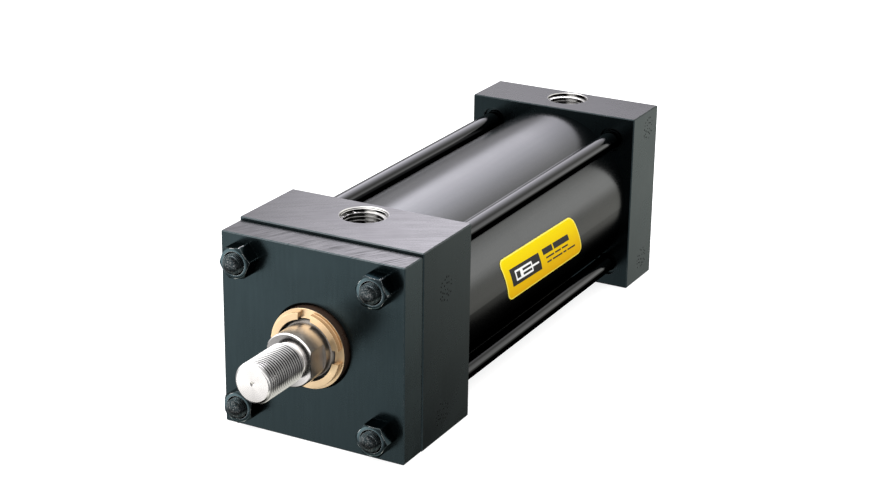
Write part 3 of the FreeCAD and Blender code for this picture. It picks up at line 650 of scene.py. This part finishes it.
def make_port_thread(name, along, mouth_radius, top):
    """The cut thread inside a port: a ring with a helical inner face under a bright chamfer. It is made
    round the Y axis with its mouth towards +Y, then stood up in the port."""
    turn = angles(128)
    outer, crest = PORT_OUTER, PORT_CREST
    depth, gap = 13.9 * MM, 0.03 * MM
    mouth = outer - mouth_radius
    chamfer = outer - crest
    root = outer - 0.05 * MM
    mesh = bmesh.new()

    def limit(level, radius):
        if level <= mouth - chamfer:
            return radius
        return max(radius, min(outer + mouth - level, outer - gap))

    add_thread(mesh, turn, -depth, mouth, PORT_PITCH, crest, root, limit)
    for vert in mesh.verts:
        if abs(vert.co.y + depth) < WELD:
            vert.co.x, vert.co.z = Vector((vert.co.x, vert.co.z)).normalized() * crest
    shell = [(crest, -depth), (outer, -depth), (outer, mouth), (outer - gap, mouth)]
    add_lathe(mesh, shell, turn, closed=False)
    stand = Matrix.Translation((0.0, along, top)) @ Matrix.Rotation(math.radians(90), 4, "X")
    bmesh.ops.transform(mesh, matrix=stand, verts=mesh.verts)
    return finish_piece(name, mesh, CYLINDER, [cut_thread(f"{name}_steel", along, top)])


def cut_slot(piece, place, size):
    """Cut a box-shaped slot out of a piece."""
    mesh = bmesh.new()
    bmesh.ops.create_cube(mesh, size=1.0)
    fit = Matrix.Translation(place) @ Matrix.Diagonal((*size, 1.0))
    bmesh.ops.transform(mesh, matrix=fit, verts=mesh.verts)
    data = bpy.data.meshes.new("slot_cutter")
    mesh.to_mesh(data)
    mesh.free()
    cutter = bpy.data.objects.new("slot_cutter", data)
    bpy.context.scene.collection.objects.link(cutter)
    cut = piece.modifiers.new("slot", "BOOLEAN")
    cut.operation, cut.solver, cut.object = "DIFFERENCE", "EXACT", cutter
    bpy.context.view_layer.update()
    evaluated = piece.evaluated_get(bpy.context.evaluated_depsgraph_get())
    result = bpy.data.meshes.new_from_object(evaluated)
    piece.modifiers.remove(cut)
    piece.data = result
    bpy.data.objects.remove(cutter)


def make_gland(bronze):
    """The bronze gland: a turned body with soft edges, its raised ring cut into four by cross slots."""
    low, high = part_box("rod_gland")
    face, end = low.y, high.y
    rim = face + 2.55 * MM
    plate = 0.0
    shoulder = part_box("retainer_plate")[1].y - 0.05 * MM
    ring = shoulder + 5.05 * MM
    ring_end = ring + 2.4 * MM
    pocket = face + 10 * MM
    seal, seal_end = face + 14.5 * MM, face + 20.5 * MM
    profile = [
        (14.5, face), (17.7, face), (17.7, rim), (19.05, rim), (19.05, plate), (18.8, plate),
        (18.8, shoulder), (17.5, shoulder), (17.5, ring), (15.7, ring), (15.7, ring_end), (17.5, ring_end),
        (17.5, end), (12.72, end), (12.72, seal_end), (16.6, seal_end), (16.6, seal), (12.72, seal),
        (12.72, pocket), (14.5, pocket),
    ]
    mesh = bmesh.new()
    add_lathe(mesh, rounded([(radius * MM, along) for radius, along in profile], 0.16 * MM), angles(256))
    gland = finish_piece("slotted_gland", mesh, CYLINDER, [bronze], "rod_gland")
    width, length, height = 6.35 * MM, 60 * MM, 6 * MM
    place = (0.0, rim + 0.015 * MM - height / 2, 0.0)
    cut_slot(gland, place, (length, height, width))
    cut_slot(gland, place, (width, height, length))
    return gland


def make_rod(machined, polished, threaded):
    """The piston rod: real thread, undercut, chamfered shoulder, wrench flats, polished shank and stud."""
    low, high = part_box("piston_rod")
    tip, end = low.y, high.y
    shoulder = tip + 9 / 8 * INCH
    shank_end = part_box("piston")[0].y
    shank, thread = INCH / 2, 3 / 8 * INCH
    root = thread - THREAD_DEPTH * ROD_PITCH
    half_flats, flat_end = 7 / 16 * INCH, shoulder + 10.7 * MM
    flat_angle = math.acos(half_flats / shank)
    turn = angles(240)
    for wanted in (flat_angle, math.pi - flat_angle, math.pi + flat_angle, 2 * math.pi - flat_angle):
        nearest = min(range(len(turn)), key=lambda j: abs(turn[j] - wanted))
        turn[nearest] = wanted

    mesh = bmesh.new()
    tip_edge, soft = 8.15 * MM, 0.06 * MM
    drilled = [(0.0, 0.35), (0.5, 0.3), (1.0, 0.06), (1.25, 0.0)]
    face = [(radius * MM, tip + depth * MM) for radius, depth in drilled]
    face += [(tip_edge - 2 * soft, tip), (tip_edge, tip + soft)]
    add_lathe(mesh, face, turn, closed=False)

    cut_end = shoulder - 2.2 * MM
    undercut = 8.2 * MM
    trim = taper([
        (tip + soft, tip_edge), (tip + 1.25 * MM, thread), (cut_end - 0.9 * MM, thread), (cut_end, undercut)])
    add_thread(mesh, turn, tip + soft, cut_end, ROD_PITCH, thread, root,
               lambda along, radius: min(radius, trim(along)), material=2)

    chamfer = 0.55 * MM
    outer = [
        (undercut, cut_end), (undercut, shoulder - 0.25 * MM), (undercut + 0.25 * MM, shoulder),
        (shank - chamfer - 0.1 * MM, shoulder), (shank - chamfer, shoulder + 0.08 * MM),
        (shank - 0.08 * MM, shoulder + chamfer), (shank, shoulder + chamfer + 0.12 * MM), (shank, flat_end),
    ]
    rings = [[polar(radius, along, angle) for angle in turn] for radius, along in outer]
    flattened = [[(min(max(x, -half_flats), half_flats), y, z) for x, y, z in ring] for ring in rings]
    add_strip(mesh, flattened)
    stud_chamfer = 1.3 * MM
    rest = [
        (shank, flat_end), (shank, shank_end), (thread, shank_end), (thread, end - stud_chamfer),
        (thread - stud_chamfer, end), (0.0, end),
    ]
    full = [[polar(radius, along, angle) for angle in turn] for radius, along in rest]
    add_strip(mesh, [flattened[-1], full[0]])
    add_strip(mesh, full)
    polished_from = shoulder + 0.5 * MM
    for side in mesh.faces:
        if side.calc_center_median().y > polished_from:
            side.material_index = 1
    return finish_piece(
        "threaded_piston_rod", mesh, ROD, [machined, polished, threaded], "piston_rod")


# -------------------------------------------------------------------------------------------------- label

# Plain bars in place of print, a line each: lowest and highest v, first u and the bars' lengths, in mm.
LABEL_LINES = (
    (1.2, 4.7, 0.2, (11.0, 17.5)),
    (-1.5, -0.5, 2.2, (9.0, 6.5, 7.0)),
    (-4.3, -3.3, 2.4, (5.0, 11.0, 3.5, 9.0)),
)


class Label:
    """The label's own flat coordinates, wrapped on the tube: u along it, v up it, both from its middle.
    fall is how far its lines sink from one end to the other."""

    def __init__(self, fall):
        low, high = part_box("name_label")
        self.radius = high.x
        self.height = 23.4 * MM
        self.length = 82.5 * MM
        self.rise = 2.9 * MM
        self.lean = 10.8 * MM
        self.fan = 0.039
        self.fall = fall
        self.corner = 4.4 * MM
        self.middle = (low.y + high.y) / 2 - 0.8 * MM

    def wrap(self, u, v, lift):
        """The place in space of a point on the label, raised off the tube by lift."""
        along = self.middle + u - (self.lean + self.fan * u) * v / self.height
        angle = (self.rise + v - self.fall * u / self.length) / self.radius
        return polar(self.radius + lift, along, angle)

    def patch(self, name, boxes, material, lift, thick, corner=0.0, replaces=None):
        """A thin printed patch per (u low, u high, v low, v high) box, with round corners."""
        mesh = bmesh.new()
        for u_low, u_high, v_low, v_high in boxes:
            self.add_box(mesh, u_low, u_high, v_low, v_high, lift, thick, corner)
        return finish_piece(name, mesh, CYLINDER, [material], replaces)

    def add_box(self, mesh, u_low, u_high, v_low, v_high, lift, thick, corner):
        """One box of a patch, as a closed sheet with its upper face at lift."""
        steps = max(2, round((v_high - v_low) / (0.8 * MM)))
        levels = list(np.linspace(v_low + corner, v_high - corner, steps + 1))
        if corner > 0:
            bend = [corner * (1 - math.cos(t)) for t in np.linspace(0.0, math.pi / 2, 9)[:-1]]
            levels = [v_low + b for b in bend] + levels + [v_high - b for b in reversed(bend)]
        columns = max(2, round((u_high - u_low) / (1.5 * MM)))
        sheets = []
        for height in (lift - thick, lift):
            rows = []
            for v in levels:
                near = min(v - v_low, v_high - v, corner)
                inset = corner - math.sqrt(max(0.0, corner ** 2 - (corner - near) ** 2))
                across = np.linspace(u_low + inset, u_high - inset, columns + 1)
                rows.append([mesh.verts.new(self.wrap(u, v, height)) for u in across])
            for lower, upper in zip(rows, rows[1:]):
                for j in range(columns):
                    mesh.faces.new((lower[j], lower[j + 1], upper[j + 1], upper[j]))
            sheets.append(rows)
        rim_low, rim_high = (rim_of(rows) for rows in sheets)
        for j in range(len(rim_low)):
            k = (j + 1) % len(rim_low)
            mesh.faces.new((rim_low[j], rim_low[k], rim_high[k], rim_high[j]))


def rim_of(rows):
    """The border vertices of a grid, in order round it."""
    right = [row[-1] for row in rows[1:-1]]
    left = [row[0] for row in reversed(rows[1:-1])]
    return rows[0] + right + list(reversed(rows[-1])) + left


def make_label(pale, ink, black, white):
    """A pale-edged label with a plain panel, a schematic cylinder symbol, and plain bars."""
    label = Label(1.7 * MM)
    half_length, half_height = label.length / 2, label.height / 2
    whole = (-half_length, half_length, -half_height, half_height)
    label.patch("label_backing", [whole], pale, 0.0, 0.19 * MM, label.corner, "name_label")
    edge, film = 0.75 * MM, 0.015 * MM
    thick = film * 0.9
    face = (edge - half_length, half_length - edge, edge - half_height, half_height - edge)
    label.patch("label_face", [face], ink, film, thick, label.corner - edge)
    printed = Label(3.4 * MM)
    panel = -35.6 * MM, -3.9 * MM, -5.7 * MM, 4.3 * MM
    panel_left, panel_right, panel_low, panel_high = panel
    printed.patch("label_panel", [panel], black, 2 * film, thick)
    line = 1.1 * MM
    left, right = panel_left + 4.5 * MM, panel_right - 9 * MM
    low, high = panel_low + 2 * MM, panel_high - 2 * MM
    middle = (low + high) / 2
    piston = left + 5 * MM
    symbol = [
        (left, right, low, low + line), (left, right, high - line, high),
        (left, left + line, low + line, high - line), (right - line, right, low + line, high - line),
        (piston, piston + 2.5 * line, low + line, high - line),
        (piston + 2.5 * line, right - line, middle - line / 2, middle + line / 2),
        (right, panel_right - 2 * MM, middle - line / 2, middle + line / 2),
    ]
    printed.patch("label_symbol", symbol, white, 3 * film, thick)
    bars, gap = [], 1.3
    for low, high, start, widths in LABEL_LINES:
        u = start
        for width in widths:
            bars.append((u * MM, (u + width) * MM, low * MM, high * MM))
            u += width + gap
    printed.patch("label_bars", bars, black, 2 * film, thick)


DOT_COUNT, DOT_GAP = 24, 0.27
DOT_PATCH = 6.0 * MM
DOT_RISE, DOT_ROOT = 0.006 * MM, 0.01 * MM


def make_punch_marks(node, centres, ink):
    """Round patches of scattered punch dots on a block's +X side. The gap is a part of the patch's radius."""
    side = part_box(node)[1].x
    loose = random.Random(len(node))
    mesh = bmesh.new()
    turn = angles(12)
    upright = Matrix.Rotation(math.radians(-90), 4, "Z")
    for along, up in centres:
        spots = []
        while len(spots) < DOT_COUNT:
            spot = Vector((loose.uniform(-1.0, 1.0), loose.uniform(-1.0, 1.0)))
            if spot.length < 1.0 and all((spot - other).length > DOT_GAP for other in spots):
                spots.append(spot)
        for spot in spots:
            y, z = along + spot.x * DOT_PATCH, up + spot.y * DOT_PATCH
            size = loose.uniform(0.4, 0.6) * MM
            first = len(mesh.verts)
            dome = [(0.0, DOT_RISE), (size * 0.8, DOT_RISE), (size, -DOT_ROOT), (0.0, -DOT_ROOT)]
            add_lathe(mesh, dome, turn)
            stand = Matrix.Translation((side, y, z)) @ upright
            for vert in list(mesh.verts)[first:]:
                vert.co = stand @ vert.co
    return finish_piece(f"{node}_punch_marks", mesh, CYLINDER, [ink])


# -------------------------------------------------------------------------------------------------- stage

def make_floor():
    """A pale floor that glows white, but for a painted shadow under the cylinder: a dark patch that does not
    glow.
    """
    mesh = bmesh.new()
    bmesh.ops.create_grid(mesh, x_segments=8, y_segments=8, size=6.0)
    data = bpy.data.meshes.new("floor")
    mesh.to_mesh(data)
    mesh.free()
    floor = bpy.data.objects.new("floor", data)
    floor.location.z = CAD_BOX[0].z - 0.1 * MM
    bpy.context.scene.collection.objects.link(floor)
    shader = Shader("pale_floor")
    mottle = shader.noise(2.0, 3.0)
    shader.set(Roughness=0.9)
    across, along, _ = shader.axis_parts()
    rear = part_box("rear_cap")[1]
    beside = shader.math("SUBTRACT", shader.math("ABSOLUTE", across), rear.x)
    past = shader.math("SUBTRACT", along, rear.y / 2)
    past = shader.math("SUBTRACT", shader.math("ABSOLUTE", past), rear.y / 2)
    outside = shader.math("MAXIMUM", beside, past)
    # Painted shadow: well inside the cylinder's footprint the floor is dark and does not glow.
    unshadowed = shader.ramp(outside, 0.0, 1.0, -31 * MM, -21 * MM)
    shader.set(Base_Color=shader.mix(unshadowed, grey(0.02), shader.mix(mottle, grey(0.34), grey(0.36))))
    shader.set(Emission_Color=grey(1.0), Emission_Strength=shader.times(unshadowed, 0.8))
    data.materials.append(shader.material)
    floor.visible_glossy = False
    floor.visible_diffuse = False


def make_world():
    """A studio as a smooth glow over direction: a tall softbox overhead and behind, a strip behind on the
    right, a wide panel in front, and darkness below. Each panel is a strength, a tint and its soft edges."""
    world = bpy.data.worlds.new("studio")
    world.use_nodes = True
    bpy.context.scene.world = world
    nodes, links = world.node_tree.nodes, world.node_tree.links

    def times(edge, glow):
        node = nodes.new("ShaderNodeMath")
        node.operation = "MULTIPLY"
        links.new(edge, node.inputs[0])
        if isinstance(glow, bpy.types.NodeSocket):
            links.new(glow, node.inputs[1])
        else:
            node.inputs[1].default_value = glow
        return node.outputs["Value"]

    def ease(value, start, end):
        """0 before start and 1 after end; an end below start turns the slope round."""
        node = nodes.new("ShaderNodeMapRange")
        node.interpolation_type = "SMOOTHSTEP"
        links.new(value, node.inputs["Value"])
        node.inputs["From Min"].default_value = min(start, end)
        node.inputs["From Max"].default_value = max(start, end)
        node.inputs["To Min"].default_value = float(start > end)
        node.inputs["To Max"].default_value = float(start < end)
        return node.outputs["Result"]

    def tinted(glow, tint):
        """A colour of the given strength."""
        node = nodes.new("ShaderNodeVectorMath")
        node.operation = "SCALE"
        node.inputs[0].default_value = tint
        links.new(glow, node.inputs["Scale"])
        return node.outputs["Vector"]

    split = nodes.new("ShaderNodeSeparateXYZ")
    links.new(nodes.new("ShaderNodeTexCoord").outputs["Generated"], split.inputs["Vector"])
    x, y, z = split.outputs
    behind, ahead = ease(y, 0.05, 0.45), ease(y, 0.3, -0.3)
    cool, warm, plain = (1.0, 0.98, 1.07), (1.0, 1.0, 0.92), (1.0, 1.0, 1.0)
    overhead = (behind, ease(z, 0.285, 0.375), ease(x, -0.56, -0.40), ease(x, 0.40, -0.2), ease(y, 1.0, 0.7))
    panels = (
        # Behind: the softbox, a strip and a wide warm panel on the right, and two faint panels.
        (6.6, cool, overhead),
        (1.7, plain, (behind, ease(x, 0.36, 0.5), ease(z, -0.14, 0.02), ease(z, 0.6, 0.2))),
        (0.85, warm, (behind, ease(z, -0.46, -0.30), ease(x, -0.2, 0.25))),
        (0.45, cool, (behind, ease(z, -0.1, 0.2), ease(x, 0.25, -0.2), ease(y, 0.94, 0.80))),
        (0.4, plain, (behind, ease(z, -0.1, 0.2), ease(y, 0.94, 0.80))),
        # In front: a panel on the left, a wide dim one, and one high up.
        (2.0, plain, (ahead, ease(z, -0.52, -0.35), ease(x, 0.3, -0.05), ease(y, -0.90, -0.78))),
        (0.35, plain, (ahead, ease(z, -0.54, -0.34))),
        (1.4, plain, (ahead, ease(z, 0.1, 0.5))),
        # A warm glow off the floor in front, a fill from the sides, and a trace from everywhere.
        (1.2, warm, (ease(y, -0.2, -0.45), ease(z, -0.5, -0.7))),
        (0.5, plain, (ease(y, 0.6, 0.4), ease(y, -0.65, -0.45), ease(z, -0.9, -0.6))),
        (0.01, plain, (ease(z, -2.0, -1.5),)),
    )
    total = (0.0, 0.0, 0.0)
    for strength, tint, edges in panels:
        glow = strength
        for edge in edges:
            glow = times(edge, glow)
        added = nodes.new("ShaderNodeVectorMath")
        links.new(tinted(glow, tint), added.inputs[0])
        if isinstance(total, bpy.types.NodeSocket):
            links.new(total, added.inputs[1])
        total = added.outputs["Vector"]
    links.new(total, nodes["Background"].inputs["Color"])


CAMERA_PLACE = (0.43507, -0.69118, 0.35405)
CAMERA_AZIMUTH, CAMERA_ELEVATION, CAMERA_ROLL = 28.387, 20.700, 0.6814
CAMERA_LENS = 82.76


def make_camera():
    """A long lens from the front right and above."""
    data = bpy.data.cameras.new("camera")
    data.lens = CAMERA_LENS
    data.sensor_width = 36.0
    data.clip_start = 0.01
    camera = bpy.data.objects.new("camera", data)
    turn = Matrix.Rotation(math.radians(CAMERA_AZIMUTH), 4, "Z")
    tilt = Matrix.Rotation(math.radians(90 - CAMERA_ELEVATION), 4, "X")
    roll = Matrix.Rotation(math.radians(CAMERA_ROLL), 4, "Z")
    camera.matrix_world = Matrix.Translation(CAMERA_PLACE) @ turn @ tilt @ roll
    bpy.context.scene.collection.objects.link(camera)
    bpy.context.scene.camera = camera


# --------------------------------------------------------------------------------------------------- main

def paint(node, material):
    """Give a CAD node a new material, keeping its mesh."""
    for slot in frame["nodes"][node].material_slots:
        slot.material = material


def block_materials(head_port, cap_port, top):
    """Each square block's own steel, with its own painted light in the front, side and top values."""
    return {
        "retainer_plate": block_steel(
            "plate_steel", ((0.36, -0.17, 0.046), 0.9 * MM, 1.0), (1.08, 1.7, 0.11)),
        "rod_head": block_steel(
            "head_steel", ((0.153, -0.158, 0.048), 0.8 * MM, 0.45), (1.0, 1.0, 0.115),
            (0.0, head_port, top), HEAD_MOUTH),
        "rear_cap": block_steel(
            "cap_steel", ((0.32, 0.12, 0.048), 0.8 * MM, 0.35), (0.62, 1.5, 0.02),
            (0.0, cap_port, top), CAP_MOUTH),
    }


def build():
    """Paint the CAD nodes, make the finer pieces, and set up the studio."""
    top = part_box("rod_head")[1].z
    mounts = {mount["name"]: mount["pos_m"] for mount in frame["record"]["mounts"]}
    head_port, cap_port = Vector(mounts["head_port"]).y, Vector(mounts["cap_port"]).y
    for node, material in block_materials(head_port, cap_port, top).items():
        paint(node, material)
    # Painted shade under the tube, and its top dimmed towards the cap.
    paint("barrel_tube", drawn_steel("tube_steel", 0.046, 0.22, -0.42, -0.1, 198 * MM))
    seal_rubber = rubber("seal_rubber", grey(0.012), grey(0.035))
    dusty = (0.26, 0.235, 0.21, 1.0), (0.36, 0.33, 0.30, 1.0)
    paint("rod_wiper", rubber("wiper_rubber", *dusty, WIPER_RUBBED))
    for node in ("rod_lip_seal", "gland_o_ring", "head_tube_seal", "cap_tube_seal",
                 "front_piston_seal", "rear_piston_seal", "piston_rod_o_ring"):
        paint(node, seal_rubber)
    paint("piston", plain_surface("piston_iron", grey(0.10), grey(0.17), 0.45, 300.0, metallic=1.0))
    brown = (0.10, 0.06, 0.03, 1.0), (0.14, 0.09, 0.05, 1.0)
    paint("piston_wear_band", plain_surface("band_plastic", *brown, 0.5))
    nut_metal = nut_steel()
    paint("piston_lock_nut", nut_metal)

    # Painted shade under the tie rods.
    make_tie_rods(drawn_steel("rod_stock_steel", 0.018, 0.10, -0.05, 0.35), rolled_thread())
    make_nuts("head_tie_rod_nuts", -1, nut_metal)
    make_nuts("cap_tie_rod_nuts", 1, nut_metal)
    make_port_thread("head_port_thread", head_port, HEAD_MOUTH, top)
    make_port_thread("cap_port_thread", cap_port, CAP_MOUTH, top)

    turned_tint, thread_tint = (1.0, 0.965, 0.94), (1.0, 0.98, 0.97)
    # The rod's shoulder gets a ring of painted shade.
    machined = turned_metal(
        "machined_steel", grey(0.76, turned_tint), grey(0.90, turned_tint),
        0.20, 0.9 * MM, 0.14, shade_ring=(8.3 * MM, 12.1 * MM))
    rod_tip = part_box("piston_rod")[0].y
    # The rod's thread gets painted shade in its roots.
    threaded = turned_metal(
        "rod_thread", grey(0.52, thread_tint), grey(0.66, thread_tint),
        0.16, 0.9 * MM, 0.0, root=(8.95 * MM, rod_tip + 1.0 * MM))
    # Painted light and shade for the gland's bore, step and rim walls.
    gland_side_shading = (0.008, 0.006, 0.005, 1.0), (0.32, 0.19, 0.09, 1.0), (0.04, 0.024, 0.017, 1.0)
    bronze = turned_metal(
        "gland_bronze", (0.92, 0.67, 0.40, 1.0), (0.99, 0.75, 0.47, 1.0),
        0.30, 0.8 * MM, 0.1, side_shading=gland_side_shading)
    make_gland(bronze)
    make_rod(machined, chrome(), threaded)

    make_label(
        plain_surface("label_edge", (0.80, 0.66, 0.06, 1.0), (0.86, 0.72, 0.10, 1.0), 0.4, specular=0.12),
        label_ink(),
        plain_surface("label_black", grey(0.006), grey(0.012), 0.42, specular=0.12),
        plain_surface("label_white", grey(0.78), grey(0.84), 0.42, specular=0.12),
    )
    dot_ink = plain_surface("punch_dots", grey(0.002), grey(0.012), 0.7, specular=0.0)
    head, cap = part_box("rod_head"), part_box("rear_cap")
    head_middle = (head[0].y + head[1].y) / 2
    cap_middle = (cap[0].y + cap[1].y) / 2 + 2 * MM
    head_spots = (head_middle - 4 * MM, 24 * MM), (head_middle - 6 * MM, -36 * MM)
    cap_spots = (cap_middle + 4 * MM, 38 * MM), (cap_middle + 3 * MM, -36 * MM)
    make_punch_marks("rod_head", head_spots, dot_ink)
    make_punch_marks("rear_cap", cap_spots, dot_ink)

    make_floor()
    make_world()
    make_camera()
    bpy.context.scene.view_settings.view_transform = "Standard"


build()
